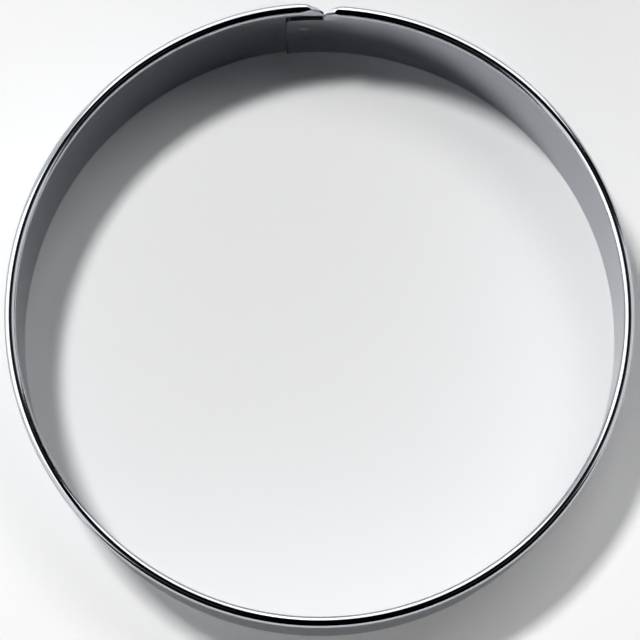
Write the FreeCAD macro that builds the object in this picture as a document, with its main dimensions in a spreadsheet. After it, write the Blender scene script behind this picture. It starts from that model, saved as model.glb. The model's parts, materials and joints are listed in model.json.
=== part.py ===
import FreeCAD, Part
import math
import os

import Sketcher

# Round biscuit cutter: one strip of thin stainless steel, bent into a ring and closed by two spot welds.
# The strip's upper edge is rolled outward into a hollow bead. At the seam the right-hand end goes on as a
# plain tab that lies inside the left-hand end, so the two are called the inner and the outer end.
# Millimetres and degrees. +Z is up, the origin is on the ring's axis in the plane of the cutting edge, and
# the seam points along +Y. Angles are about +Z, from +X.

doc = FreeCAD.newDocument("biscuit_cutter")

# Driving sizes
SIZES = (
    # inside of the wall, which cuts the biscuit, and cutting edge to crown of the rim
    ("wall_radius", 40),
    ("cutter_height", 25),
    ("sheet_thickness", 0.3),
    # hollow of the rolled rim, and the slit that its free edge leaves beside the wall
    ("bead_bore", 0.9),
    ("curl_slit", 0.15),
    # the lap: where it is, its length, the slack between its layers, how far the tab lies inside the ring's
    # circle, and how far the tab's top lies below the rim's crown
    ("seam_angle", 90),
    ("lap_length", 5),
    ("lap_slack", 0.03),
    ("tab_inset", 0.2),
    ("tab_drop", 3.1),
    # angles from the seam where the two ends begin to leave the ring's circle and where they have left it
    ("inner_bend_start", 50),
    ("inner_bend_end", 8),
    ("outer_bend_start", 30),
    ("outer_bend_end", 9),
    # the rim's two ends: the notch between them, their pinched lengths and the share of these that is flat
    ("notch_width", 0.25),
    ("inner_pinch_length", 1.1),
    ("outer_pinch_length", 3.1),
    ("flat_share", 0.5),
    # hollow of the bead where it is pinched flat, and how far below its middle the pinch bends the wall
    ("flat_bore_width", 0.1),
    ("flat_bore_height", 0.7),
    ("pinch_reach", 1.8),
    # spot welds: diameter, depth of the mark on each face, place along the lap and up the tab
    ("weld_diameter", 1.6),
    ("weld_mark", 0.04),
    ("weld_lap_share", 0.5),
    ("lower_weld_share", 0.45),
    ("upper_weld_share", 0.73),
    # how far a cut runs past the metal
    ("overrun", 1),
)

# Values worked out from the driving sizes. Each end leaves the ring's circle by two tangent arcs that turn
# by equal angles. Their axes are shifted from the ring's by the same length, one along the ring's radius at
# the arc's outer joint and the other against it.
WORKED = (
    ("bead_radius", "=Sizes.bead_bore / 2 + Sizes.sheet_thickness"),
    ("bead_height", "=Sizes.cutter_height - bead_radius"),
    ("tab_height", "=Sizes.cutter_height - Sizes.tab_drop"),
    ("lap_thickness", "=2 * Sizes.sheet_thickness + Sizes.lap_slack"),
    ("inner_radius", "=Sizes.wall_radius - Sizes.tab_inset"),
    ("outer_radius", "=inner_radius + Sizes.sheet_thickness + Sizes.lap_slack"),
    ("half_notch", "=Sizes.notch_width / 2 / Sizes.wall_radius * 180 / pi"),
    ("inner_tip", "=Sizes.seam_angle - half_notch"),
    ("inner_pinch", "=inner_tip - Sizes.inner_pinch_length / inner_radius * 180 / pi"),
    ("inner_end", "=Sizes.seam_angle - Sizes.inner_bend_end"),
    ("inner_start", "=Sizes.seam_angle - Sizes.inner_bend_start"),
    ("inner_middle", "=(inner_end + inner_start) / 2"),
    ("inner_step", "=Sizes.wall_radius - inner_radius"),
    ("inner_shift", "=inner_step / 2 / (1 - cos((inner_end - inner_start) / 2))"),
    ("inner_ring_side_radius", "=Sizes.wall_radius - inner_shift"),
    ("inner_lap_side_radius", "=inner_radius + inner_shift"),
    ("outer_tip", "=Sizes.seam_angle + half_notch"),
    ("outer_pinch", "=outer_tip + Sizes.outer_pinch_length / outer_radius * 180 / pi"),
    ("outer_end", "=Sizes.seam_angle + Sizes.outer_bend_end"),
    ("outer_start", "=Sizes.seam_angle + Sizes.outer_bend_start"),
    ("outer_middle", "=(outer_end + outer_start) / 2"),
    ("outer_step", "=Sizes.wall_radius - outer_radius"),
    ("outer_shift", "=outer_step / 2 / (1 - cos((outer_end - outer_start) / 2))"),
    ("outer_ring_side_radius", "=Sizes.wall_radius - outer_shift"),
    ("outer_lap_side_radius", "=outer_radius + outer_shift"),
    ("tab_end", "=outer_tip + Sizes.lap_length / inner_radius * 180 / pi"),
    ("weld_angle", "=outer_tip + Sizes.weld_lap_share * (tab_end - outer_tip)"),
)

UP = FreeCAD.Vector(0, 0, 1)
QUARTER_TURN = 90
FULL_TURN = 360
UPRIGHT = FreeCAD.Placement(FreeCAD.Vector(0, 0, 0), FreeCAD.Rotation(0, 0, QUARTER_TURN))
# numbers by which a sketch knows the places on an edge, its own origin and its level axis
START_INDEX, END_INDEX, MIDDLE_INDEX = 1, 2, 3
ORIGIN_INDEX = -1
LEVEL_AXIS_INDEX = -1


def fill_sheet(name, rows):
    """Make a sheet with one aliased cell for each row."""
    sheet = doc.addObject("Spreadsheet::Sheet", name)
    for number, (alias, text) in enumerate(rows, start=1):
        cell = f"A{number}"
        sheet.set(cell, str(text))
        sheet.setAlias(cell, alias)
    doc.recompute()
    return sheet


sizes = fill_sheet("Sizes", SIZES)
worked = fill_sheet("Worked", WORKED)


def value_of(cell):
    """The number in a cell that is named as in an expression, such as Sizes.wall_radius."""
    sheet_name, alias = cell.split(".")
    return getattr(doc.getObject(sheet_name), alias)


def direction(angle):
    """Level unit vector at an angle in degrees from +X."""
    return FreeCAD.Vector(math.cos(math.radians(angle)), math.sin(math.radians(angle)), 0)


def free_edge_angle():
    """Angle about the bead's middle, in radians, where the curl's free edge stops short of the wall."""
    return -math.acos((sizes.curl_slit - sizes.bead_bore / 2) / worked.bead_radius)


def add_sketch(name, edges, chain, rules):
    """An upright sketch, radius across and height up: its edges, the order they join in and its rules.

    The chain lists each edge with its first and last end.
    """
    sketch = doc.addObject("Sketcher::SketchObject", name)
    sketch.Placement = UPRIGHT
    sketch.addGeometry(edges, False)
    for (edge, _, last), (following, first, _) in zip(chain, chain[1:] + chain[:1]):
        sketch.addConstraint(Sketcher.Constraint("Coincident", edge, last, following, first))
    for rule in rules:
        sketch.addConstraint(Sketcher.Constraint(*rule))
    return sketch


def bind(sketch, kind, places, cell):
    """Add one dimension to a sketch and tie it to a cell."""
    index = sketch.addConstraint(Sketcher.Constraint(kind, *places, value_of(cell)))
    sketch.setExpression(f"Constraints[{index}]", cell)


def strip_profile(name, radius):
    """Section of the strip with its rolled edge: wall, bead and the bead's free edge."""
    inside = value_of(radius)
    outside = inside + sizes.sheet_thickness
    bead = worked.bead_radius
    hollow_radius = sizes.bead_bore / 2
    free_angle = free_edge_angle()
    free_way = direction(math.degrees(free_angle))
    centre = FreeCAD.Vector(inside + bead, worked.bead_height, 0)
    foot_in = FreeCAD.Vector(inside, 0, 0)
    foot_out = FreeCAD.Vector(outside, 0, 0)
    top_in = FreeCAD.Vector(inside, worked.bead_height, 0)
    top_out = FreeCAD.Vector(outside, worked.bead_height, 0)
    inner_face, skin, free_edge, hollow, outer_face, foot = range(6)
    sketch = add_sketch(
        name,
        [
            Part.LineSegment(foot_in, top_in),
            Part.ArcOfCircle(Part.Circle(centre, UP, bead), free_angle, math.pi),
            Part.LineSegment(centre + free_way * bead, centre + free_way * hollow_radius),
            Part.ArcOfCircle(Part.Circle(centre, UP, hollow_radius), free_angle, math.pi),
            Part.LineSegment(top_out, foot_out),
            Part.LineSegment(foot_out, foot_in),
        ],
        [
            (inner_face, START_INDEX, END_INDEX),
            (skin, END_INDEX, START_INDEX),
            (free_edge, START_INDEX, END_INDEX),
            (hollow, START_INDEX, END_INDEX),
            (outer_face, START_INDEX, END_INDEX),
            (foot, START_INDEX, END_INDEX),
        ],
        [
            ("Coincident", skin, MIDDLE_INDEX, hollow, MIDDLE_INDEX),
            ("Vertical", inner_face),
            ("Vertical", outer_face),
            ("Horizontal", foot),
            ("PointOnObject", foot, END_INDEX, LEVEL_AXIS_INDEX),
            ("Horizontal", skin, MIDDLE_INDEX, skin, END_INDEX),
            ("Horizontal", hollow, MIDDLE_INDEX, hollow, END_INDEX),
            ("PointOnObject", skin, MIDDLE_INDEX, free_edge),
        ],
    )
    bind(sketch, "DistanceX", (ORIGIN_INDEX, START_INDEX, inner_face, START_INDEX), radius)
    bind(sketch, "DistanceX", (inner_face, START_INDEX, outer_face, END_INDEX), "Sizes.sheet_thickness")
    bind(sketch, "DistanceY", (inner_face, START_INDEX, inner_face, END_INDEX), "Worked.bead_height")
    bind(sketch, "Radius", (skin,), "Worked.bead_radius")
    bind(sketch, "DistanceX", (outer_face, START_INDEX, skin, START_INDEX), "Sizes.curl_slit")
    return sketch


def tab_profile(name, radius):
    """Section of the tab: the bare sheet, cut lower than the rim."""
    inside = value_of(radius)
    outside = inside + sizes.sheet_thickness
    foot_in = FreeCAD.Vector(inside, 0, 0)
    foot_out = FreeCAD.Vector(outside, 0, 0)
    top_in = FreeCAD.Vector(inside, worked.tab_height, 0)
    top_out = FreeCAD.Vector(outside, worked.tab_height, 0)
    inner_face, top, outer_face, foot = range(4)
    sketch = add_sketch(
        name,
        [
            Part.LineSegment(foot_in, top_in),
            Part.LineSegment(top_in, top_out),
            Part.LineSegment(top_out, foot_out),
            Part.LineSegment(foot_out, foot_in),
        ],
        [(edge, START_INDEX, END_INDEX) for edge in (inner_face, top, outer_face, foot)],
        [
            ("Vertical", inner_face),
            ("Horizontal", top),
            ("Vertical", outer_face),
            ("PointOnObject", foot, START_INDEX, LEVEL_AXIS_INDEX),
            ("PointOnObject", foot, END_INDEX, LEVEL_AXIS_INDEX),
        ],
    )
    bind(sketch, "DistanceX", (ORIGIN_INDEX, START_INDEX, inner_face, START_INDEX), radius)
    bind(sketch, "DistanceX", (inner_face, START_INDEX, outer_face, END_INDEX), "Sizes.sheet_thickness")
    bind(sketch, "DistanceY", (inner_face, START_INDEX, inner_face, END_INDEX), "Worked.tab_height")
    return sketch


def bend_profile(name, profile, start, end, shift="0", shift_angle="0"):
    """Bend a stretch of strip from one angle to another, about an upright axis.

    The axis is the ring's own, or is shifted from it along a given angle. All are expressions.
    """
    stretch = doc.addObject("Part::Revolution", name)
    stretch.Source = profile
    stretch.Axis = UP
    stretch.Base = FreeCAD.Vector(0, 0, 0)
    stretch.Solid = True
    stretch.setExpression("Angle", f"{end} - {start}")
    axis = f"vector({shift} * cos({shift_angle}); {shift} * sin({shift_angle}); 0)"
    stretch.setExpression("Placement", f"placement({axis}; rotation({start}; 0; 0))")
    return stretch


def strip_stretch(name, radius, *bend):
    """A stretch of strip with its bead, bent to a radius about its own axis."""
    return bend_profile(name, strip_profile(f"{name}_profile", radius), *bend)


def oval_arc(centre, out, half_width, half_height):
    """Arc of an upright oval from the curl's free edge, over the top and down to the inner side."""

    def place(angle):
        return centre + out * (half_width * math.cos(angle)) + UP * (half_height * math.sin(angle))

    free_angle = free_edge_angle()
    inner_side = math.pi
    crown = math.pi / 2
    if math.isclose(half_width, half_height):
        round_arc = Part.Arc(place(free_angle), place(crown), place(inner_side))
        return round_arc.toShape()
    # an oval's own angles start at its longer axis, which may be the upright or the level one
    longer = crown if half_height > half_width else 0
    oval = Part.Ellipse(place(longer), place(longer + crown), centre)
    return Part.ArcOfEllipse(oval, free_angle - longer, inner_side - longer).toShape()


def end_section(angle, radius, bore_width, bore_height):
    """Closed outline of the strip at an angle, with its bead squeezed and its wall drawn to the bead."""
    sheet = sizes.sheet_thickness
    out = direction(angle)
    centre = out * (radius + worked.bead_radius) + UP * worked.bead_height
    skin = oval_arc(centre, out, bore_width / 2 + sheet, bore_height / 2 + sheet)
    hollow = oval_arc(centre, out, bore_width / 2, bore_height / 2)
    bend = UP * (worked.bead_height - sizes.pinch_reach)
    foot_in = out * radius
    foot_out = out * (radius + sheet)
    edges = [
        Part.LineSegment(foot_in, foot_in + bend).toShape(),
        Part.LineSegment(foot_in + bend, skin.Vertexes[-1].Point).toShape(),
        skin,
        Part.LineSegment(skin.Vertexes[0].Point, hollow.Vertexes[0].Point).toShape(),
        hollow,
        Part.LineSegment(hollow.Vertexes[-1].Point, foot_out + bend).toShape(),
        Part.LineSegment(foot_out + bend, foot_out).toShape(),
        Part.LineSegment(foot_out, foot_in).toShape(),
    ]
    return Part.Wire(edges)


def pinched_end(name, radius, round_angle, tip_angle):
    """The last stretch of strip before the notch, where the round bead is pinched flat towards its tip."""
    flat_angle = tip_angle + sizes.flat_share * (round_angle - tip_angle)
    flat_bore = (sizes.flat_bore_width, sizes.flat_bore_height)
    sections = [
        end_section(round_angle, radius, sizes.bead_bore, sizes.bead_bore),
        end_section(flat_angle, radius, *flat_bore),
        end_section(tip_angle, radius, *flat_bore),
    ]
    end = doc.addObject("Part::Feature", name)
    end.Shape = Part.makeLoft(sections, True, True)
    end.Placement = FreeCAD.Placement()
    return end


def weld_disc(name, height_share, radius, length):
    """A disc through both layers of the lap, its axis along the ring's radius. All are expressions."""
    disc = doc.addObject("Part::Cylinder", name)
    disc.setExpression("Radius", "Sizes.weld_diameter / 2")
    disc.setExpression("Height", length)
    across = f"({radius}) * cos(Worked.weld_angle); ({radius}) * sin(Worked.weld_angle)"
    start = f"vector({across}; {height_share} * Worked.tab_height)"
    disc.setExpression("Placement", f"placement({start}; rotation(Worked.weld_angle; {QUARTER_TURN}; 0))")
    return disc


# The strip, stretch by stretch, from the tab round to the tip of the outer end
bare_sheet = tab_profile("tab_profile", "Worked.inner_radius")
stretches = [
    bend_profile("tab", bare_sheet, "Worked.inner_tip", "Worked.tab_end"),
    pinched_end("inner_pinched_end", worked.inner_radius, worked.inner_pinch, worked.inner_tip),
    strip_stretch("inner_straight", "Worked.inner_radius", "Worked.inner_end", "Worked.inner_pinch"),
    strip_stretch(
        "inner_lap_side",
        "Worked.inner_lap_side_radius",
        "Worked.inner_middle",
        "Worked.inner_end",
        "-Worked.inner_shift",
        "Worked.inner_end",
    ),
    strip_stretch(
        "inner_ring_side",
        "Worked.inner_ring_side_radius",
        "Worked.inner_start",
        "Worked.inner_middle",
        "Worked.inner_shift",
        "Worked.inner_start",
    ),
    strip_stretch("ring", "Sizes.wall_radius", "Worked.outer_start", f"{FULL_TURN} + Worked.inner_start"),
    strip_stretch(
        "outer_ring_side",
        "Worked.outer_ring_side_radius",
        "Worked.outer_middle",
        "Worked.outer_start",
        "Worked.outer_shift",
        "Worked.outer_start",
    ),
    strip_stretch(
        "outer_lap_side",
        "Worked.outer_lap_side_radius",
        "Worked.outer_end",
        "Worked.outer_middle",
        "-Worked.outer_shift",
        "Worked.outer_end",
    ),
    strip_stretch("outer_straight", "Worked.outer_radius", "Worked.outer_pinch", "Worked.outer_end"),
    pinched_end("outer_pinched_end", worked.outer_radius, worked.outer_pinch, worked.outer_tip),
]
strip = doc.addObject("Part::MultiFuse", "strip")
strip.Shapes = stretches
strip.Refine = True

# Each weld fills a seat of its own diameter through both layers, and ends just below the pressed faces
WELDS = (("lower", "Sizes.lower_weld_share"), ("upper", "Sizes.upper_weld_share"))
seats = []
welds = []
for place, share in WELDS:
    seats.append(
        weld_disc(
            f"{place}_weld_seat",
            share,
            "Worked.inner_radius - Sizes.overrun",
            "Worked.lap_thickness + 2 * Sizes.overrun",
        )
    )
    welds.append(
        weld_disc(
            f"spot_weld_{place}",
            share,
            "Worked.inner_radius + Sizes.weld_mark",
            "Worked.lap_thickness - 2 * Sizes.weld_mark",
        )
    )
weld_seats = doc.addObject("Part::MultiFuse", "weld_seats")
weld_seats.Shapes = seats
cutter_band = doc.addObject("Part::Cut", "cutter_band")
cutter_band.Base = strip
cutter_band.Tool = weld_seats

doc.recompute()
failed = [item.Name for item in doc.Objects if "Invalid" in item.State or "Error" in item.State]
if failed:
    raise RuntimeError(f"these objects did not compute: {failed}")
pieces = [cutter_band, *welds]
for piece in pieces:
    shape = piece.Shape
    if shape.isNull() or not shape.isValid() or len(shape.Solids) != 1:
        raise RuntimeError(f"{piece.Label} is not one valid solid")
    print(f"{piece.Label}: {shape.Volume:.3f} cubic millimetres, {len(shape.Faces)} faces")

os.makedirs("parts", exist_ok=True)
for piece in pieces:
    piece.Shape.exportStep(f"parts/{piece.Label}.step")
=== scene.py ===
"""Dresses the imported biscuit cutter: a ring of stainless strip with a rolled rim and two spot welds."""

import json
import logging
import math
from dataclasses import dataclass
from enum import Enum

import bmesh
import bpy
from bmesh.types import BMesh, BMVert
from bpy.types import ID, Material, Node as TreeNode, NodeSocket, NodeTree, Object
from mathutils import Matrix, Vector


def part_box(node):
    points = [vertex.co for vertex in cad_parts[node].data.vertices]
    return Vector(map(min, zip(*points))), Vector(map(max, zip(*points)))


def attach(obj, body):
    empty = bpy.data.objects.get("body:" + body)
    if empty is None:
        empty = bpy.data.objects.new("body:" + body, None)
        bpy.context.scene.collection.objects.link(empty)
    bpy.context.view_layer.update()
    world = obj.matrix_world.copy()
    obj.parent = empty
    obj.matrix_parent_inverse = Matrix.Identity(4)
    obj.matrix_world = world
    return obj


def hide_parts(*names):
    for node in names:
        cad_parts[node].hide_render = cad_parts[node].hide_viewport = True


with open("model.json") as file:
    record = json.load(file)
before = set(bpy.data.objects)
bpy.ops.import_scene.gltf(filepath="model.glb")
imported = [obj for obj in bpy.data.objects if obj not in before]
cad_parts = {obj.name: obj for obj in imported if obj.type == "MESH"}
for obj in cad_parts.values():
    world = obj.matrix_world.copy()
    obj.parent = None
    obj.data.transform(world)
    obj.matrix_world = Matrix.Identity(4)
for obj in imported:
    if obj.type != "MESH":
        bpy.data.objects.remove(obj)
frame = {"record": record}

LOG = logging.getLogger("biscuit_cutter")
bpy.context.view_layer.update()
BODY = "root"

MM = 0.001
FULL_TURN = 360.0
HALF_TURN = 180.0
QUARTER_TURN = 90.0
# Values closer than this count as the same.
HAIR = 1e-6

# The strip's gauge and the rolled rim's radius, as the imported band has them.
SHEET = 0.3 * MM
RIM_RADIUS = 0.75 * MM

# The sRGB curve is a straight toe up to a knee, and a power above it.
FULL_CHANNEL = 255
SRGB_KNEE = 0.04045
SRGB_TOE = 12.92
SRGB_LIFT = 0.055
SRGB_POWER = 2.4

# A colour Mix node's sockets by number: the share, the colour below, the colour above and the result.
MIX_SHARE, MIX_UNDER, MIX_OVER = 0, 6, 7
MIX_RESULT = 2
# Nearly all values of a noise texture lie between these.
NOISE_LOW, NOISE_HIGH = 0.3, 0.7


class Node(Enum):
    """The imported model's pieces, by the names of their nodes."""

    BAND = "cutter_band"
    LOWER_WELD = "spot_weld_lower"
    UPPER_WELD = "spot_weld_upper"


class Slot(Enum):
    """The record's material slots."""

    STRIP = "stainless_strip"
    WELD = "weld_metal"


class Mark(Enum):
    """Values that the swept strip carries on its points, for its shape and its finish."""

    RUN = "run"
    GIRTH = "girth"
    ROLL = "roll"
    RISE = "rise"
    BARE = "bare"
    SHEARED = "sheared"
    TAB_EDGE = "tab_edge"
    NARROWING = "narrowing"
    SINKING = "sinking"
    CORNER_DIP = "corner_dip"
    OUTWARD = "outward"
    RETREAT = "retreat"
    PINCH_OUT = "pinch_out"
    PINCH_UP = "pinch_up"
    SETBACK = "setback"
    DIP_SHARE = "dip_share"


class Seen(Enum):
    """What a lamp acts on: matt surfaces through its light, or bright metal through its mirror image."""

    BY_MATT = "matt"
    BY_METAL = "metal"


def linear_colour(code: str) -> tuple[float, float, float, float]:
    """Turn an sRGB colour into a linear one.

    Args:
        code: The colour as #RRGGBB.

    Returns:
        Linear red, green and blue, and an alpha of one.
    """
    linear = []
    for start in (1, 3, 5):
        channel = int(code[start:start + 2], 16) / FULL_CHANNEL
        if channel <= SRGB_KNEE:
            linear.append(channel / SRGB_TOE)
        else:
            linear.append(((channel + SRGB_LIFT) / (1 + SRGB_LIFT)) ** SRGB_POWER)
    return (*linear, 1.0)


def add_node(tree: NodeTree, kind: str, inputs: dict | None = None, **settings: object) -> TreeNode:
    """Add a node to a tree, with its settings and what feeds it.

    Args:
        tree: The tree that gets the node.
        kind: Blender's name for the type of node.
        inputs: For each input by name or number, a plain value, a socket to link from, or a node
            to link from by its first output.
        **settings: The node's own properties.

    Returns:
        The new node.
    """
    node = tree.nodes.new(kind)
    for name, value in settings.items():
        setattr(node, name, value)
    for place, value in (inputs or {}).items():
        source = value.outputs[0] if isinstance(value, TreeNode) else value
        if isinstance(source, NodeSocket):
            tree.links.new(source, node.inputs[place])
        else:
            node.inputs[place].default_value = source
    return node


def start_material(name: str) -> Material:
    """Make a material with an empty tree.

    Args:
        name: The material's name.

    Returns:
        The material.
    """
    material = bpy.data.materials.new(name)
    material.use_nodes = True
    material.node_tree.nodes.clear()
    return material


def heading(degrees: float) -> Vector:
    """Give the level unit vector at an angle from +X about +Z."""
    return Vector((math.cos(math.radians(degrees)), math.sin(math.radians(degrees)), 0.0))


def spread(start: float, end: float, step: float) -> list[float]:
    """Divide a stretch evenly.

    Args:
        start: Where the stretch starts, which is in the list.
        end: Where it ends, which is not.
        step: The longest step allowed.

    Returns:
        The values from start up to the last one before end.
    """
    count = max(1, math.ceil(abs(end - start) / step - HAIR))
    return [start + (end - start) * index / count for index in range(count)]


def ways_along(points: list[tuple[float, ...]]) -> list[float]:
    """Measure how far each point of a line is from the line's start.

    Args:
        points: The line's points in order.

    Returns:
        The way along the line to each point.
    """
    ways = [0.0]
    for before, after in zip(points, points[1:]):
        ways.append(ways[-1] + math.dist(before, after))
    return ways


def put_in_scene(name: str, data: ID) -> Object:
    """Put a mesh, a lamp or a camera into the scene as an object at the origin.

    Args:
        name: The object's name.
        data: The mesh, lamp or camera.

    Returns:
        The object.
    """
    thing = bpy.data.objects.new(name, data)
    bpy.context.scene.collection.objects.link(thing)
    return thing


def draw_line(name: str, points: list[tuple[float, ...]], columns: dict[Mark, list[float]]) -> Object:
    """Draw a line of points that carry values.

    Args:
        name: The name of the line's object and mesh.
        points: The line's points in order.
        columns: For each mark, one value for every point.

    Returns:
        The line.
    """
    mesh = bpy.data.meshes.new(name)
    mesh.from_pydata(points, [(index, index + 1) for index in range(len(points) - 1)], [])
    for mark, values in columns.items():
        mesh.attributes.new(mark.value, "FLOAT", "POINT").data.foreach_set("value", values)
    return put_in_scene(name, mesh)


def settle(piece: Object) -> None:
    """Turn a piece and its modifiers into a plain mesh.

    Args:
        piece: The piece, which keeps its name and loses its modifiers.
    """
    depsgraph = bpy.context.evaluated_depsgraph_get()
    plain = bpy.data.meshes.new_from_object(
        piece.evaluated_get(depsgraph), preserve_all_data_layers=True, depsgraph=depsgraph
    )
    piece.modifiers.clear()
    piece.data = plain
    plain.name = piece.name


@dataclass(frozen=True)
class SteelReadings:
    """What the strip's finish goes by at a point.

    That is its marks, its place, the mill's lines, the mottle, the band along the strip's ends and the
    tab's upper edge that is dulled like a shear burr and darkened as painted shadow of the lap's gap,
    and the factors by which the lines change the colour and the mottle changes the roughness.
    """

    marks: dict[Mark, NodeSocket]
    place: NodeSocket
    lines: TreeNode
    mottle: TreeNode
    burr_and_gap_shadow: TreeNode
    tone: TreeNode
    patches: TreeNode


@dataclass(frozen=True)
class RolledStainless:
    """Cold-rolled stainless strip: satin on the flat wall, burnished bright where the rim was rolled.

    To the eye it is a cool mid grey. The wall blurs what it mirrors, with faint lines along the
    strip from the mill's rollers. The rim was drawn through forming rollers, which polished it, so
    it shows hard black and white bands.
    """

    colour: str = "#C0C3C9"
    worn_colour: str = "#D0D2D6"
    tint_colour: str = "#B2ADA4"
    # Painted shadow: this dark grey stands in for the shade in the lap's gap along the strip's ends and the
    # tab's upper edge.
    painted_gap_shadow_colour: str = "#4A4C50"
    glance_colour: str = "#C6C7CA"
    wall_roughness: float = 0.12
    rim_roughness: float = 0.10
    sheared_dulling: float = 0.3
    pressed_dulling: float = 0.28
    pressed_full: float = 0.2
    uneven: tuple[float, float] = (0.88, 1.12)
    line_spacing: float = 0.35 * MM
    line_length: float = 14 * MM
    line_detail: float = 3.0
    line_breakup: float = 0.6
    line_tone: tuple[float, float] = (0.95, 1.04)
    line_depth: float = 0.02 * MM
    wall_relief: float = 0.10
    rim_relief: float = 0.015
    mottle: float = 5 * MM
    mottle_detail: float = 4.0
    edge_wear: float = 0.9 * MM
    weld_tint_reach: float = 1.7 * MM
    weld_tint_core: float = 0.4
    weld_tint_strength: float = 0.6

    def make(self, welds: list[Vector]) -> Material:
        """Build the strip's material.

        Args:
            welds: The middle of each spot weld, where the sheet was heated.

        Returns:
            The material.
        """
        material = start_material("cold_rolled_stainless_strip")
        tree = material.node_tree
        read = self._read(tree)
        # The mill's lines stand out less on the burnished rim.
        strength = add_node(
            tree, "ShaderNodeMapRange",
            {"Value": read.marks[Mark.ROLL], "To Min": self.wall_relief, "To Max": self.rim_relief},
        )
        relief = add_node(
            tree, "ShaderNodeBump",
            {"Height": read.lines, "Strength": strength, "Distance": self.line_depth},
        )
        shader = add_node(
            tree, "ShaderNodeBsdfPrincipled",
            {
                "Base Color": self._colour(tree, read, welds),
                "Metallic": 1.0,
                "Specular Tint": linear_colour(self.glance_colour),
                "Roughness": self._roughness(tree, read),
                "Normal": relief,
            },
        )
        add_node(tree, "ShaderNodeOutputMaterial", {"Surface": shader})
        return material

    def _read(self, tree: NodeTree) -> SteelReadings:
        """Add the nodes that the rest of the finish goes by.

        Args:
            tree: The material's tree.

        Returns:
            The readings.
        """
        carried = (Mark.RUN, Mark.GIRTH, Mark.ROLL, Mark.SHEARED, Mark.TAB_EDGE, Mark.BARE, Mark.SINKING)
        marks = {
            mark: add_node(tree, "ShaderNodeAttribute", attribute_name=mark.value).outputs["Fac"]
            for mark in carried
        }
        # The mill's lines are about 0.05 mm apart, too fine to show, so they are drawn coarser.
        along, across = (
            add_node(tree, "ShaderNodeMath", {0: marks[mark], 1: length}, operation="DIVIDE")
            for mark, length in ((Mark.RUN, self.line_length), (Mark.GIRTH, self.line_spacing))
        )
        lines = add_node(
            tree, "ShaderNodeTexNoise",
            {
                "Vector": add_node(tree, "ShaderNodeCombineXYZ", {"X": along, "Y": across}),
                "Scale": 1.0,
                "Detail": self.line_detail,
                "Roughness": self.line_breakup,
            },
        )
        place = add_node(tree, "ShaderNodeTexCoord").outputs["Object"]
        mottle = add_node(
            tree, "ShaderNodeTexNoise",
            {"Vector": place, "Scale": 1 / self.mottle, "Detail": self.mottle_detail},
        )
        # The strip's ends and the tab's upper edge are dulled like the shears' burr, and darkened with a
        # painted shadow of the gap in the lap.
        burr_and_gap_shadow = add_node(
            tree, "ShaderNodeMath",
            {0: marks[Mark.TAB_EDGE], 1: marks[Mark.BARE], 2: marks[Mark.SHEARED]},
            operation="MULTIPLY_ADD", use_clamp=True,
        )
        tone, patches = (
            add_node(
                tree, "ShaderNodeMapRange",
                {
                    "Value": noise,
                    "From Min": NOISE_LOW,
                    "From Max": NOISE_HIGH,
                    "To Min": low,
                    "To Max": high,
                },
            )
            for noise, (low, high) in ((lines, self.line_tone), (mottle, self.uneven))
        )
        return SteelReadings(marks, place, lines, mottle, burr_and_gap_shadow, tone, patches)

    def _colour(self, tree: NodeTree, read: SteelReadings, welds: list[Vector]) -> TreeNode:
        """Mix the steel's colour.

        Args:
            tree: The material's tree.
            read: What the finish goes by.
            welds: The middle of each spot weld.

        Returns:
            The node that gives the colour.
        """
        # Handling rubs the cutting edge lighter.
        wear_band = add_node(
            tree, "ShaderNodeMapRange",
            {"Value": read.marks[Mark.GIRTH], "From Max": self.edge_wear, "To Min": 1.0, "To Max": 0.0},
            interpolation_type="SMOOTHSTEP",
        )
        wear = add_node(tree, "ShaderNodeMath", {0: wear_band, 1: read.mottle}, operation="MULTIPLY")
        layers = [(wear, self.worn_colour)]
        # The heat of each weld left a straw tint round it.
        for weld in welds:
            distance = add_node(
                tree, "ShaderNodeVectorMath", {0: read.place, 1: tuple(weld)}, operation="DISTANCE"
            )
            heat = add_node(
                tree, "ShaderNodeMapRange",
                {
                    "Value": distance.outputs["Value"],
                    "From Min": self.weld_tint_core * self.weld_tint_reach,
                    "From Max": self.weld_tint_reach,
                    "To Min": self.weld_tint_strength,
                    "To Max": 0.0,
                },
                interpolation_type="SMOOTHSTEP",
            )
            layers.append((heat, self.tint_colour))
        # Painted shadow: the gap along the cut ends and the tab's upper edge is darkened in the colour.
        layers.append((read.burr_and_gap_shadow, self.painted_gap_shadow_colour))
        colour = linear_colour(self.colour)
        for share, over in layers:
            colour = add_node(
                tree, "ShaderNodeMix",
                {MIX_SHARE: share, MIX_UNDER: colour, MIX_OVER: linear_colour(over)},
                data_type="RGBA",
            ).outputs[MIX_RESULT]
        return add_node(tree, "ShaderNodeVectorMath", {0: colour, "Scale": read.tone}, operation="SCALE")

    def _roughness(self, tree: NodeTree, read: SteelReadings) -> TreeNode:
        """Work out how dull the steel is.

        Args:
            tree: The material's tree.
            read: What the finish goes by.

        Returns:
            The node that gives the roughness.
        """
        roll = read.marks[Mark.ROLL]
        base = add_node(
            tree, "ShaderNodeMapRange",
            {"Value": roll, "To Min": self.wall_roughness, "To Max": self.rim_roughness},
        )
        dulled = add_node(
            tree, "ShaderNodeMath",
            {0: read.burr_and_gap_shadow, 1: self.sheared_dulling, 2: base},
            operation="MULTIPLY_ADD",
        )
        # The press scuffed the rim where it was flattened into tongues.
        pressed = add_node(
            tree, "ShaderNodeMapRange",
            {
                "Value": read.marks[Mark.SINKING],
                "From Max": self.pressed_full,
                "To Max": self.pressed_dulling,
            },
        )
        scuffed = add_node(
            tree, "ShaderNodeMath", {0: pressed, 1: roll, 2: dulled}, operation="MULTIPLY_ADD"
        )
        return add_node(tree, "ShaderNodeMath", {0: scuffed, 1: read.patches}, operation="MULTIPLY")


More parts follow.
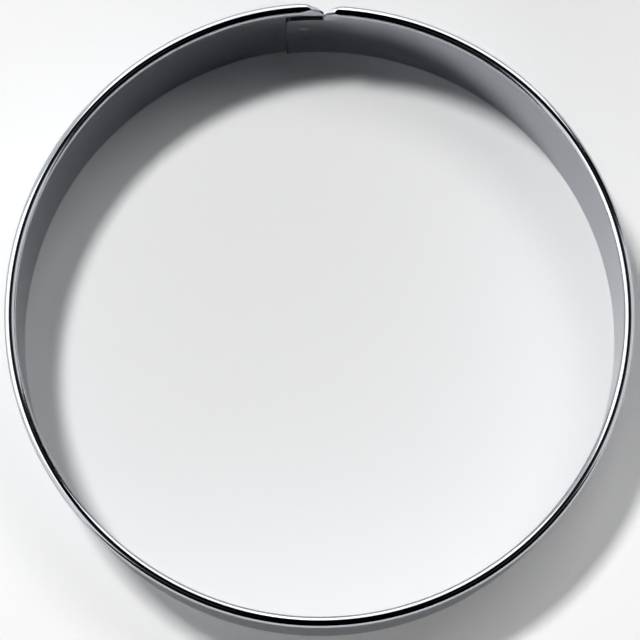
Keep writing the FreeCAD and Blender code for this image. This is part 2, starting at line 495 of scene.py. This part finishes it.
@dataclass(frozen=True)
class WeldMetal:
    """Steel squeezed between two electrodes: dull, slightly browned, with a grainy dished face."""

    colour: str = "#A9A9A9"
    dark_colour: str = "#8F8E8B"
    glance_colour: str = "#BEBEC0"
    roughness: float = 0.26
    roughness_spread: float = 0.1
    grain: float = 0.25 * MM
    grain_detail: float = 3.0
    grain_depth: float = 0.02 * MM
    relief: float = 0.4

    def make(self) -> Material:
        """Build the weld's material.

        Returns:
            The material.
        """
        material = start_material("pressed_weld_metal")
        tree = material.node_tree
        place = add_node(tree, "ShaderNodeTexCoord").outputs["Object"]
        grain = add_node(
            tree, "ShaderNodeTexNoise",
            {"Vector": place, "Scale": 1 / self.grain, "Detail": self.grain_detail},
        )
        colour = add_node(
            tree, "ShaderNodeMix",
            {
                MIX_SHARE: grain,
                MIX_UNDER: linear_colour(self.dark_colour),
                MIX_OVER: linear_colour(self.colour),
            },
            data_type="RGBA",
        )
        roughness = add_node(
            tree, "ShaderNodeMapRange",
            {
                "Value": grain,
                "To Min": self.roughness - self.roughness_spread,
                "To Max": self.roughness + self.roughness_spread,
            },
        )
        relief = add_node(
            tree, "ShaderNodeBump", {"Height": grain, "Strength": self.relief, "Distance": self.grain_depth}
        )
        shader = add_node(
            tree, "ShaderNodeBsdfPrincipled",
            {
                "Base Color": colour.outputs[MIX_RESULT],
                "Metallic": 1.0,
                "Specular Tint": linear_colour(self.glance_colour),
                "Roughness": roughness,
                "Normal": relief,
            },
        )
        add_node(tree, "ShaderNodeOutputMaterial", {"Surface": shader})
        return material


@dataclass(frozen=True)
class PaperSweep:
    """Matt white background paper: even and pale, with a faint tooth."""

    colour: str = "#F4F4F4"
    roughness: float = 0.9
    gloss: float = 0.2
    tooth: float = 0.8 * MM
    tooth_depth: float = 0.02 * MM
    relief: float = 0.05

    def make(self) -> Material:
        """Build the floor's material.

        Returns:
            The material.
        """
        material = start_material("matt_background_paper")
        tree = material.node_tree
        place = add_node(tree, "ShaderNodeTexCoord").outputs["Object"]
        tooth = add_node(tree, "ShaderNodeTexNoise", {"Vector": place, "Scale": 1 / self.tooth})
        relief = add_node(
            tree, "ShaderNodeBump", {"Height": tooth, "Strength": self.relief, "Distance": self.tooth_depth}
        )
        shader = add_node(
            tree, "ShaderNodeBsdfPrincipled",
            {
                "Base Color": linear_colour(self.colour),
                "Roughness": self.roughness,
                "Specular IOR Level": self.gloss,
                "Normal": relief,
            },
        )
        add_node(tree, "ShaderNodeOutputMaterial", {"Surface": shader})
        return material


@dataclass(frozen=True)
class Arc:
    """A stretch of the strip seen from above, as part of a circle that its inner face follows."""

    end: float
    centre: Vector
    radius: float

    def point(self, angle: float) -> Vector:
        """Give the point of the inner face at an angle."""
        return self.centre + heading(angle) * self.radius


@dataclass(frozen=True)
class RimEnd:
    """One end of the rolled rim: narrowed from inside, then pressed into a tongue that is cut aslant."""

    narrow_from: float
    narrow_share: float
    tongue: float
    sink_share: float
    cut: float
    cut_blend: float = 3.1 * MM

    def narrowing(self, distance: float) -> float:
        """Say how far the rim is narrowed, easing in and out.

        Args:
            distance: The way along the strip from the rim's tip.

        Returns:
            The narrowing as a share of the most it can be.
        """
        share = (self.narrow_from - distance) / (self.narrow_from - self.tongue)
        share = min(1.0, max(0.0, share))
        return self.narrow_share * share * share * (3 - 2 * share)

    def sinking(self, distance: float) -> float:
        """Say how far the rim is pressed at a distance from its tip, as a share of the most it can be."""
        return self.sink_share * max(0.0, 1 - distance / self.tongue)

    def setback(self, distance: float) -> float:
        """Say how far the rim's outer side is moved back at a distance from its tip."""
        return self.cut * max(0.0, 1 - distance / self.cut_blend)


@dataclass(frozen=True)
class StripPath:
    """The strip's way round, anticlockwise from the tip of its outer end to the free end of its tab.

    Bends are angles from the seam where an end's step starts and stops. Steps are the angles
    between the sections that are drawn: at the rim's tips, in the lap, in the outer end's bend,
    round the ring and at the tab's corner.
    """

    wall_radius: float
    sheet: float
    seam: float = 90.0
    notch: float = 0.03 * MM
    lap: float = 5.0 * MM
    tab_inset: float = 0.2 * MM
    lap_slack: float = 0.03 * MM
    inner_bend: tuple[float, float] = (50.0, 8.0)
    outer_bend: tuple[float, float] = (9.0, 30.0)
    inner_end: RimEnd = RimEnd(
        narrow_from=2.2 * MM, narrow_share=0.5, tongue=1.2 * MM, sink_share=0.5, cut=2.1 * MM
    )
    outer_end: RimEnd = RimEnd(
        narrow_from=3.3 * MM, narrow_share=1.0, tongue=1.45 * MM, sink_share=1.0, cut=2.5 * MM
    )
    corner_radius: float = 0.8 * MM
    sheared_width: float = 0.12 * MM
    tip_step: float = 0.1
    lap_step: float = 0.3
    bend_step: float = 0.9
    ring_step: float = 1.0
    corner_step: float = 0.08

    @property
    def inner_radius(self) -> float:
        """The radius of the tab's inner face."""
        return self.wall_radius - self.tab_inset

    @property
    def outer_radius(self) -> float:
        """The radius of the inner face of the end that lies outside the tab."""
        return self.inner_radius + self.sheet + self.lap_slack

    @property
    def half_notch(self) -> float:
        """Half the gap between the two ends of the rim, in degrees."""
        return math.degrees(self.notch / 2 / self.wall_radius)

    @property
    def outer_tip(self) -> float:
        """The angle of the outer end's tip."""
        return self.seam + self.half_notch

    @property
    def inner_tip(self) -> float:
        """The angle of the inner end's tip, one turn on."""
        return self.seam + FULL_TURN - self.half_notch

    @property
    def tab_end(self) -> float:
        """The angle of the tab's free end, one turn on."""
        return self.outer_tip + FULL_TURN + math.degrees(self.lap / self.inner_radius)

    @property
    def bend_out(self) -> tuple[float, float]:
        """The angles where the outer end's step starts and stops."""
        return self.seam + self.outer_bend[0], self.seam + self.outer_bend[1]

    @property
    def bend_in(self) -> tuple[float, float]:
        """The angles where the inner end's step starts and stops, one turn on."""
        return self.seam + FULL_TURN - self.inner_bend[0], self.seam + FULL_TURN - self.inner_bend[1]

    def arcs(self) -> list[Arc]:
        """List the stretches in order, each one tangent to the next.

        Returns:
            The arcs from the outer end's tip to the tab's free end.
        """
        axis = Vector((0.0, 0.0, 0.0))
        return [
            Arc(self.bend_out[0], axis, self.outer_radius),
            *self._step(self.bend_out, self.outer_radius, self.wall_radius),
            Arc(self.bend_in[0], axis, self.wall_radius),
            *self._step(self.bend_in, self.wall_radius, self.inner_radius),
            Arc(self.tab_end, axis, self.inner_radius),
        ]

    @staticmethod
    def _step(bend: tuple[float, float], before: float, after: float) -> list[Arc]:
        """Join two radii by a pair of tangent arcs.

        Args:
            bend: The angles where the step starts and stops.
            before: The radius before it.
            after: The radius after it.

        Returns:
            The two arcs.
        """
        middle = (bend[0] + bend[1]) / 2
        half_turn = math.radians((bend[1] - bend[0]) / 2)
        offset = (before - after) / (2 * (1 - math.cos(half_turn)))
        return [
            Arc(middle, heading(bend[0]) * offset, before - offset),
            Arc(bend[1], heading(bend[1]) * -offset, after + offset),
        ]

    def stations(self) -> list[float]:
        """List the angles at which the strip is drawn, closer together towards its ends.

        Returns:
            The angles from the outer end's tip to the tab's free end.
        """
        outer_start = self.outer_tip + math.degrees(self.outer_end.narrow_from / self.outer_radius)
        inner_start = self.inner_tip - math.degrees(self.inner_end.cut_blend / self.inner_radius)
        corner_start = self.tab_end - math.degrees(self.corner_radius / self.inner_radius)
        stretches = (
            (self.outer_tip, outer_start, self.tip_step),
            (outer_start, self.bend_out[0], self.lap_step),
            (self.bend_out[0], self.bend_out[1], self.bend_step),
            (self.bend_out[1], self.bend_in[0], self.ring_step),
            (self.bend_in[0], inner_start, self.ring_step),
            (inner_start, self.inner_tip, self.tip_step),
            (self.inner_tip, corner_start, self.lap_step),
            (corner_start, self.tab_end, self.corner_step),
        )
        angles = [angle for start, end, step in stretches for angle in spread(start, end, step)]
        return [*angles, self.tab_end]

    def from_outer_tip(self, angle: float) -> float:
        """Give the way along the strip from the outer end's tip to an angle."""
        return math.radians(angle - self.outer_tip) * self.outer_radius

    def from_inner_tip(self, angle: float) -> float:
        """Give the way along the strip from an angle to the inner end's tip, endless from past it."""
        way = math.radians(self.inner_tip - angle) * self.inner_radius
        return way if way >= 0 else math.inf

    def from_tab_end(self, angle: float) -> float:
        """Give the way along the strip from an angle to the tab's free end."""
        return math.radians(self.tab_end - angle) * self.inner_radius

    def bare(self, angle: float) -> float:
        """Say whether an angle lies past the rim, where the strip goes on as the tab, as one or zero."""
        return float(angle > self.inner_tip + HAIR)

    def sheared(self, angle: float) -> float:
        """Say whether an angle lies in the dulled band with painted gap shadow along either end of the
        strip, as one or zero.
        """
        return float(min(self.from_outer_tip(angle), self.from_tab_end(angle)) < self.sheared_width)

    def narrowing(self, angle: float) -> float:
        """Say how far the rim is narrowed at an angle, as a share of the most it can be."""
        return max(
            self.outer_end.narrowing(self.from_outer_tip(angle)),
            self.inner_end.narrowing(self.from_inner_tip(angle)),
        )

    def sinking(self, angle: float) -> float:
        """Say how far the rim is pressed flat at an angle, as a share of the most it can be."""
        return max(
            self.outer_end.sinking(self.from_outer_tip(angle)),
            self.inner_end.sinking(self.from_inner_tip(angle)),
        )

    def corner_dip(self, angle: float) -> float:
        """Say how far the tab's rounded corner falls below its upper edge at an angle."""
        inside = max(0.0, self.corner_radius - self.from_tab_end(angle))
        return self.corner_radius - math.sqrt(self.corner_radius ** 2 - inside ** 2)

    def retreat(self, angle: float) -> Vector:
        """Say how far and which way the rim's outer side is moved back.

        Args:
            angle: The angle round the ring.

        Returns:
            The move, level and along the strip.
        """
        outer = self.outer_end.setback(self.from_outer_tip(angle))
        inner = self.inner_end.setback(self.from_inner_tip(angle))
        return heading(angle + QUARTER_TURN) * (outer - inner)

    def guide(self) -> Object:
        """Draw the path as a line of points that carry how the strip is shaped at each.

        Returns:
            The line.
        """
        arcs = self.arcs()
        angles = self.stations()
        points = []
        for angle in angles:
            arc = next(arc for arc in arcs if angle <= arc.end + HAIR)
            points.append(tuple(arc.point(angle)))
        measures = {
            Mark.BARE: self.bare,
            Mark.SHEARED: self.sheared,
            Mark.NARROWING: self.narrowing,
            Mark.SINKING: self.sinking,
            Mark.CORNER_DIP: self.corner_dip,
        }
        columns = {mark: [measure(angle) for angle in angles] for mark, measure in measures.items()}
        columns[Mark.RUN] = ways_along(points)
        line = draw_line("strip_path", points, columns)
        for mark, direction in ((Mark.OUTWARD, heading), (Mark.RETREAT, self.retreat)):
            flat = [part for angle in angles for part in direction(angle)]
            line.data.attributes.new(mark.value, "FLOAT_VECTOR", "POINT").data.foreach_set("vector", flat)
        return line


@dataclass(frozen=True)
class ProfileRow:
    """A point of the strip's section and how it moves towards the strip's ends, by the marks' names."""

    out: float
    rise: float
    roll: float
    pinch_out: float
    pinch_up: float
    setback: float
    dip_share: float = 0.0
    tab_edge: float = 0.0


@dataclass(frozen=True)
class StripProfile:
    """The strip's section, as the line of the face that looks in on the wall and out on the rolled rim."""

    height: float
    rim_radius: float
    sheet: float
    curl_slit: float = 0.15 * MM
    tab_drop: float = 3.1 * MM
    pinch_reach: float = 2.2 * MM
    narrow_inside: float = 0.22 * MM
    narrow_outside: float = 0.12 * MM
    flat_half_height: float = 0.33 * MM
    tongue_drop: float = 0.25 * MM
    corner_reach: float = 2.6 * MM
    chamfer: float = 0.7 * MM
    chamfer_share: float = 0.12
    row_step: float = 1.3 * MM
    bend_step: float = 0.2 * MM
    edge_rows: tuple[float, ...] = (0.0, 0.06 * MM, 0.16 * MM, 0.4 * MM)
    curl_step: float = 6.0

    @property
    def rim_height(self) -> float:
        """The height of the middle of the rolled rim."""
        return self.height - self.rim_radius

    @property
    def tab_top(self) -> float:
        """The height of the tab's upper edge."""
        return self.height - self.tab_drop

    @property
    def curl_end(self) -> float:
        """The angle on the rim's circle at which the sheet's free edge stops, short of the wall."""
        reach = self.sheet + self.curl_slit - self.rim_radius
        return -math.degrees(math.acos(reach / self.rim_radius))

    def wall_rows(self) -> list[ProfileRow]:
        """List the section's points up the wall, closer together at its edges and where it bends.

        Returns:
            The points from the cutting edge up to the rim.
        """
        bend = self.rim_height - self.pinch_reach
        first_edge = self.edge_rows[1]
        heights = [
            *self.edge_rows,
            *spread(self.row_step, self.tab_top - self.row_step / 2, self.row_step),
            *(self.tab_top - row for row in reversed(self.edge_rows)),
            *spread(self.tab_top + first_edge, bend, self.bend_step),
            *spread(bend, self.rim_height, self.bend_step),
        ]
        rows = []
        for rise in heights:
            leaned = max(0.0, (rise - bend) / self.pinch_reach)
            near_rim = max(0.0, 1 - (self.rim_height - rise) / self.chamfer)
            from_tab_top = abs(self.tab_top - rise)
            rows.append(ProfileRow(
                out=0.0,
                rise=rise,
                roll=0.0,
                pinch_out=self.narrow_inside * leaned,
                pinch_up=-self.tongue_drop * leaned,
                setback=self.chamfer_share * near_rim,
                dip_share=max(0.0, 1 - from_tab_top / self.corner_reach),
                tab_edge=float(from_tab_top < first_edge / 2),
            ))
        return rows

    def rim_rows(self) -> list[ProfileRow]:
        """List the section's points round the rolled rim.

        Returns:
            The points from the wall, over the crown and round to the sheet's free edge.
        """
        rows = []
        for turn in [*spread(HALF_TURN, self.curl_end, self.curl_step), self.curl_end]:
            side = math.cos(math.radians(turn))
            top = math.sin(math.radians(turn))
            squeeze = self.narrow_inside if side < 0 else self.narrow_outside
            # Over the crown the cut slants back towards the outer side, and below it is full.
            slant = ((1 + side) / 2) ** 2 if top > 0 else 1.0
            rows.append(ProfileRow(
                out=self.rim_radius * (1 + side),
                rise=self.rim_height + self.rim_radius * top,
                roll=1.0,
                pinch_out=-side * squeeze,
                pinch_up=(self.flat_half_height - self.rim_radius) * top - self.tongue_drop,
                setback=self.chamfer_share + (1 - self.chamfer_share) * slant,
            ))
        return rows

    def guide(self) -> Object:
        """Draw the section as a line of points that carry how each moves towards the strip's ends.

        Returns:
            The line, lying down so that the sweep stands it up.
        """
        rows = [*self.wall_rows(), *self.rim_rows()]
        points = [(row.out, -row.rise, 0.0) for row in rows]
        moves = (Mark.PINCH_OUT, Mark.PINCH_UP, Mark.SETBACK, Mark.DIP_SHARE)
        carried = (Mark.RISE, Mark.ROLL, Mark.TAB_EDGE, *moves)
        columns = {mark: [getattr(row, mark.value) for row in rows] for mark in carried}
        columns[Mark.GIRTH] = ways_along(points)
        return draw_line("strip_profile", points, columns)


@dataclass(frozen=True)
class CutterBand:
    """The ring: one strip of sheet swept round, its rim rolled out and its tab lapped behind the seam.

    A face of the sweep lies past the rim's tip, or on the rim, when more than corner_share of its
    corners do.
    """

    path: StripPath
    profile: StripProfile
    sheet: float
    corner_share: float = 0.4
    edge_round: float = 0.03 * MM
    edge_segments: int = 2
    edge_angle: float = 50.0
    name: str = "strip_ring"

    def sweep_tree(self) -> NodeTree:
        """Build the tree that sweeps the section along the path, pinches the rim's ends and cuts the tab.

        Returns:
            The tree, with the section, the tab's height and the finish as named inputs.
        """
        tree = bpy.data.node_groups.new("strip_sweep", "GeometryNodeTree")
        sockets = (
            ("Path", "NodeSocketGeometry"),
            ("Profile", "NodeSocketObject"),
            ("Tab Top", "NodeSocketFloat"),
            ("Finish", "NodeSocketMaterial"),
        )
        for name, kind in sockets:
            tree.interface.new_socket(name, in_out="INPUT", socket_type=kind)
        tree.interface.new_socket("Strip", in_out="OUTPUT", socket_type="NodeSocketGeometry")
        given = add_node(tree, "NodeGroupInput").outputs
        path = add_node(tree, "GeometryNodeMeshToCurve", {"Mesh": given["Path"]})
        upright = add_node(tree, "GeometryNodeSetCurveNormal", {"Curve": path}, mode="Z_UP")
        section = add_node(tree, "GeometryNodeObjectInfo", {"Object": given["Profile"]})
        outline = add_node(tree, "GeometryNodeMeshToCurve", {"Mesh": section.outputs["Geometry"]})
        swept = add_node(tree, "GeometryNodeCurveToMesh", {"Curve": upright, "Profile Curve": outline})
        finish_only = (Mark.RUN, Mark.GIRTH, Mark.SHEARED, Mark.TAB_EDGE)
        marks = {
            mark: add_node(
                tree, "GeometryNodeInputNamedAttribute", {"Name": mark.value},
                data_type="FLOAT_VECTOR" if mark in (Mark.OUTWARD, Mark.RETREAT) else "FLOAT",
            ).outputs["Attribute"]
            for mark in Mark if mark not in finish_only
        }
        pinched = add_node(
            tree, "GeometryNodeSetPosition", {"Geometry": swept, "Offset": self._pinch(tree, marks)}
        )
        # Past the rim's tip all that lies above the tab is cut away, the rim with it.
        limits = (
            (Mark.BARE, self.corner_share),
            (Mark.RISE, given["Tab Top"]),
            (Mark.ROLL, self.corner_share),
        )
        past_tip, higher, rolled = (
            add_node(tree, "FunctionNodeCompare", {"A": marks[mark], "B": limit}, operation="GREATER_THAN")
            for mark, limit in limits
        )
        over = add_node(tree, "FunctionNodeBooleanMath", {0: higher, 1: rolled}, operation="OR")
        waste = add_node(tree, "FunctionNodeBooleanMath", {0: past_tip, 1: over}, operation="AND")
        cut = add_node(
            tree, "GeometryNodeDeleteGeometry", {"Geometry": pinched, "Selection": waste}, domain="FACE"
        )
        smooth = add_node(tree, "GeometryNodeSetShadeSmooth", {"Geometry": cut})
        real = add_node(tree, "GeometryNodeRealizeInstances", {"Geometry": smooth})
        dressed = add_node(
            tree, "GeometryNodeSetMaterial", {"Geometry": real, "Material": given["Finish"]}
        )
        add_node(tree, "NodeGroupOutput", {"Strip": dressed})
        return tree

    @staticmethod
    def _pinch(tree: NodeTree, marks: dict[Mark, NodeSocket]) -> TreeNode:
        """Work out how far each point moves where the rim's ends are pinched and the tab's corner is cut.

        Args:
            tree: The sweep's tree.
            marks: The values that the points carry.

        Returns:
            The node that gives the move.
        """
        products = (
            (Mark.NARROWING, Mark.PINCH_OUT),
            (Mark.SINKING, Mark.PINCH_UP),
            (Mark.CORNER_DIP, Mark.DIP_SHARE),
        )
        push, pressed, dipped = (
            add_node(tree, "ShaderNodeMath", {0: marks[one], 1: marks[other]}, operation="MULTIPLY")
            for one, other in products
        )
        sideways, back = (
            add_node(tree, "ShaderNodeVectorMath", {0: marks[mark], "Scale": amount}, operation="SCALE")
            for mark, amount in ((Mark.OUTWARD, push), (Mark.RETREAT, marks[Mark.SETBACK]))
        )
        level = add_node(tree, "ShaderNodeVectorMath", {0: sideways, 1: back}, operation="ADD")
        drop = add_node(tree, "ShaderNodeMath", {0: pressed, 1: dipped}, operation="SUBTRACT")
        upward = add_node(tree, "ShaderNodeCombineXYZ", {"Z": drop})
        return add_node(tree, "ShaderNodeVectorMath", {0: level, 1: upward}, operation="ADD")

    def build(self, finish: Material) -> Object:
        """Make the ring's mesh.

        Args:
            finish: The strip's material.

        Returns:
            The ring as a plain mesh at the origin.
        """
        ring = self.path.guide()
        ring.name = self.name
        section = self.profile.guide()
        tree = self.sweep_tree()
        sweep = ring.modifiers.new("strip_sweep", "NODES")
        sweep.node_group = tree
        inputs = {"Profile": section, "Tab Top": self.profile.tab_top, "Finish": finish}
        for item in tree.interface.items_tree:
            if item.name in inputs:
                sweep[item.identifier] = inputs[item.name]
        settle(ring)
        bpy.data.objects.remove(section)
        # The sheet's thickness goes behind the swept face.
        thicken = ring.modifiers.new("sheet", "SOLIDIFY")
        thicken.thickness = self.sheet
        thicken.offset = -1.0
        thicken.use_quality_normals = True
        rounded = ring.modifiers.new("sheared_edges", "BEVEL")
        rounded.width = self.edge_round
        rounded.segments = self.edge_segments
        rounded.limit_method = "ANGLE"
        rounded.angle_limit = math.radians(self.edge_angle)
        settle(ring)
        return ring

    def dress(self, ring: Object) -> None:
        """Hang the ring on the body and hide the imported band that it stands in for.

        Args:
            ring: The ring.
        """
        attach(ring, BODY)
        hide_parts(Node.BAND.value)


@dataclass(frozen=True)
class SpotWeld:
    """One spot weld: a round mark on both faces of the lap, dished by the electrodes inside a low lip.

    The dish reaches out to the last of dish_shares of the radius. Each pair of lip_section is a
    share of the radius and the share of the lip's height that the metal stands proud there.
    """

    node: Node
    name: str
    inner_face: float
    outer_face: float
    lip: float = 0.007 * MM
    dish: float = 0.003 * MM
    dish_shares: tuple[float, ...] = (0.3, 0.55)
    lip_section: tuple[tuple[float, float], ...] = ((0.72, 0.4), (0.84, 1.0), (0.92, 0.9), (1.0, -1.0))
    spokes: int = 48

    def middle(self) -> Vector:
        """Give the middle of the weld."""
        low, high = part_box(self.node.value)
        return (low + high) / 2

    def radius(self) -> float:
        """Give the weld's radius, which is half of its node's height."""
        low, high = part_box(self.node.value)
        return (high.z - low.z) / 2

    def build(self, finish: Material) -> Object:
        """Make the weld's mesh.

        Args:
            finish: The weld's material.

        Returns:
            The weld as a plain mesh at the origin.
        """
        mesh = bmesh.new()
        inner_edge = self._mark(mesh, self.inner_face, -1.0)
        outer_edge = self._mark(mesh, self.outer_face, 1.0)
        self._bridge(mesh, inner_edge, outer_edge)
        bmesh.ops.recalc_face_normals(mesh, faces=mesh.faces)
        for polygon in mesh.faces:
            polygon.smooth = True
        plain = bpy.data.meshes.new(self.name)
        mesh.to_mesh(plain)
        mesh.free()
        plain.materials.append(finish)
        return put_in_scene(self.name, plain)

    def _mark(self, mesh: BMesh, face: float, outward: float) -> list[BMVert]:
        """Make the mark on one face of the lap.

        Args:
            mesh: The mesh that gets the mark.
            face: The radius of the lap's face.
            outward: One where the face looks away from the ring's axis, minus one where it looks in.

        Returns:
            The points round the mark's edge.
        """
        middle = self.middle()
        radius = self.radius()
        section = [(share, self.dish) for share in self.dish_shares]
        section += [(share, proud * self.lip) for share, proud in self.lip_section]
        centre = self._point(mesh, middle, 0.0, 0.0, face + outward * self.dish)
        inside = []
        for share, proud in section:
            outside = [
                self._point(mesh, middle, share * radius, turn, face + outward * proud)
                for turn in spread(0.0, FULL_TURN, FULL_TURN / self.spokes)
            ]
            if inside:
                self._bridge(mesh, outside, inside)
            else:
                for first, second in zip(outside, outside[1:] + outside[:1]):
                    mesh.faces.new([first, second, centre])
            inside = outside
        return inside

    @staticmethod
    def _point(mesh: BMesh, middle: Vector, reach: float, turn: float, radius: float) -> BMVert:
        """Add a point of the weld, wrapped round the ring.

        Args:
            mesh: The mesh that gets the point.
            middle: The middle of the weld.
            reach: How far the point is from the weld's middle.
            turn: The point's direction from the middle, in degrees.
            radius: How far the point is from the ring's axis.

        Returns:
            The new point.
        """
        angle = math.degrees(math.atan2(middle.y, middle.x))
        along = math.degrees(reach * math.cos(math.radians(turn)) / radius)
        spot = heading(angle + along) * radius
        spot.z = middle.z + reach * math.sin(math.radians(turn))
        return mesh.verts.new(spot)

    @staticmethod
    def _bridge(mesh: BMesh, one: list[BMVert], other: list[BMVert]) -> None:
        """Join two rings of points by a band of faces.

        Args:
            mesh: The mesh that gets the faces.
            one: The first ring.
            other: The second ring, with as many points.
        """
        for index, (first, second) in enumerate(zip(one, other)):
            following = (index + 1) % len(one)
            mesh.faces.new([first, one[following], other[following], second])

    def dress(self, weld: Object) -> None:
        """Hang the weld on the body and hide the imported weld that it stands in for.

        Args:
            weld: The weld.
        """
        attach(weld, BODY)
        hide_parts(self.node.value)


@dataclass(frozen=True)
class Lamp:
    """A rectangular lamp that faces the ring from far off.

    The azimuth is its direction, low and high are its lower and upper edge above the floor, and
    width is how wide it looks, all in degrees as seen from the ring. A glow of one looks white.
    """

    name: str
    azimuth: float
    low: float
    high: float
    width: float
    glow: float
    seen: Seen
    distance: float = 5.0

    def build(self) -> None:
        """Hang the lamp, facing the ring."""
        middle = math.radians((self.low + self.high) / 2)
        half_height = math.radians((self.high - self.low) / 2)
        half_width = math.radians(self.width / 2)
        lamp = bpy.data.lights.new(self.name, "AREA")
        lamp.shape = "RECTANGLE"
        lamp.size = 2 * self.distance * math.tan(half_width)
        lamp.size_y = 2 * self.distance * math.tan(half_height)
        lamp.energy = self.glow * math.pi * lamp.size * lamp.size_y
        away = heading(self.azimuth) * math.cos(middle) + Vector((0.0, 0.0, math.sin(middle)))
        holder = put_in_scene(self.name, lamp)
        holder.location = away * self.distance
        holder.rotation_euler = away.to_track_quat("Z", "Y").to_euler()
        holder.visible_camera = False
        holder.visible_diffuse = self.seen is Seen.BY_MATT
        holder.visible_glossy = self.seen is Seen.BY_METAL


@dataclass(frozen=True)
class Studio:
    """The floor, the lamps and the camera.

    Softboxes stand round the back and the left for the metal to mirror, with a panel to the right
    and a dim ceiling for the rim's crown. A small high key, a softer fill and a low glow from the
    front light the paper.
    """

    floor_side: float = 2.4
    horizon_glow: float = 0.97
    dark_from: float = 2.0
    dark_at: float = 8.0
    distance: float = 748.9 * MM
    elevation: float = 81.56
    turn: float = 0.78
    target: tuple[float, float, float] = (0.06 * MM, -0.97 * MM, 25.0 * MM)
    lens: float = 320.6
    sensor: float = 36.0
    lamps: tuple[Lamp, ...] = (
        Lamp("softbox_right", 68.0, 2.0, 48.0, 36.0, 2.0, Seen.BY_METAL),
        Lamp("softbox_back", 106.0, 2.0, 54.0, 40.0, 2.0, Seen.BY_METAL),
        Lamp("softbox_gap", 139.0, 2.0, 59.0, 26.0, 0.8, Seen.BY_METAL),
        Lamp("softbox_left", 172.0, 2.0, 65.0, 40.0, 2.0, Seen.BY_METAL),
        Lamp("softbox_front", 205.0, 2.0, 60.0, 26.0, 1.1, Seen.BY_METAL),
        Lamp("side_panel", 2.0, 4.0, 50.0, 40.0, 1.0, Seen.BY_METAL),
        Lamp("ceiling_left", 186.0, 56.0, 80.0, 44.0, 0.06, Seen.BY_METAL),
        Lamp("ceiling_right", 0.0, 52.0, 80.0, 36.0, 0.045, Seen.BY_METAL),
        Lamp("key", 137.0, 71.5, 76.0, 6.0, 247.0, Seen.BY_MATT),
        Lamp("fill", 56.0, 64.0, 78.0, 20.0, 6.5, Seen.BY_MATT),
        Lamp("front_glow", 250.0, 5.0, 17.0, 72.0, 14.4, Seen.BY_MATT),
    )

    def floor(self) -> Object:
        """Lay the floor under the cutting edge.

        Returns:
            The floor.
        """
        half = self.floor_side / 2
        mesh = bpy.data.meshes.new("paper_floor")
        corners = [(-half, -half, 0.0), (half, -half, 0.0), (half, half, 0.0), (-half, half, 0.0)]
        mesh.from_pydata(corners, [], [(0, 1, 2, 3)])
        mesh.materials.append(PaperSweep().make())
        return put_in_scene("paper_floor", mesh)

    def light(self) -> None:
        """Hang the lamps in a world that is white at the horizon, like the floor, and dark overhead."""
        world = bpy.data.worlds.new("studio_room")
        bpy.context.scene.world = world
        world.use_nodes = True
        tree = world.node_tree
        tree.nodes.clear()
        view = add_node(tree, "ShaderNodeTexCoord")
        parts = add_node(tree, "ShaderNodeSeparateXYZ", {0: view.outputs["Generated"]})
        glow = add_node(
            tree, "ShaderNodeMapRange",
            {
                "Value": parts.outputs["Z"],
                "From Min": math.sin(math.radians(self.dark_from)),
                "From Max": math.sin(math.radians(self.dark_at)),
                "To Min": self.horizon_glow,
                "To Max": 0.0,
            },
            interpolation_type="SMOOTHSTEP",
        )
        background = add_node(
            tree, "ShaderNodeBackground", {"Color": (1.0, 1.0, 1.0, 1.0), "Strength": glow}
        )
        add_node(tree, "ShaderNodeOutputWorld", {"Surface": background})
        for lamp in self.lamps:
            lamp.build()

    def camera(self) -> None:
        """Stand the camera nearly over the ring, on the side away from the seam."""
        sight = bpy.data.cameras.new("overhead_camera")
        sight.lens = self.lens
        sight.sensor_width = self.sensor
        holder = put_in_scene("overhead_camera", sight)
        rise = math.radians(self.elevation)
        away = heading(self.turn - QUARTER_TURN) * math.cos(rise) + Vector((0.0, 0.0, math.sin(rise)))
        holder.location = Vector(self.target) + away * self.distance
        holder.rotation_euler = away.to_track_quat("Z", "Y").to_euler()
        bpy.context.scene.camera = holder


def main() -> None:
    """Build the cutter and its studio, and report each piece."""
    logging.basicConfig(level=logging.INFO, format="%(name)s: %(message)s")
    bpy.context.scene.view_settings.view_transform = "Standard"
    bore = next(mount for mount in frame["record"]["mounts"] if mount["kind"] == "bore")
    path = StripPath(bore["dims"]["r_mm"] * MM, SHEET)
    low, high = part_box(Node.BAND.value)
    profile = StripProfile(high.z - low.z, RIM_RADIUS, SHEET)
    inner_face = path.inner_radius
    outer_face = path.outer_radius + SHEET
    welds = [
        SpotWeld(Node.LOWER_WELD, "weld_mark_lower", inner_face, outer_face),
        SpotWeld(Node.UPPER_WELD, "weld_mark_upper", inner_face, outer_face),
    ]
    steel = RolledStainless().make([weld.middle() for weld in welds])
    band = CutterBand(path, profile, SHEET)
    ring = band.build(steel)
    band.dress(ring)
    LOG.info("%s: %d faces", ring.name, len(ring.data.polygons))
    weld_metal = WeldMetal().make()
    for weld in welds:
        piece = weld.build(weld_metal)
        weld.dress(piece)
        LOG.info("%s: %d faces", piece.name, len(piece.data.polygons))
    studio = Studio()
    studio.floor()
    studio.light()
    studio.camera()


if __name__ == "__main__":
    main()
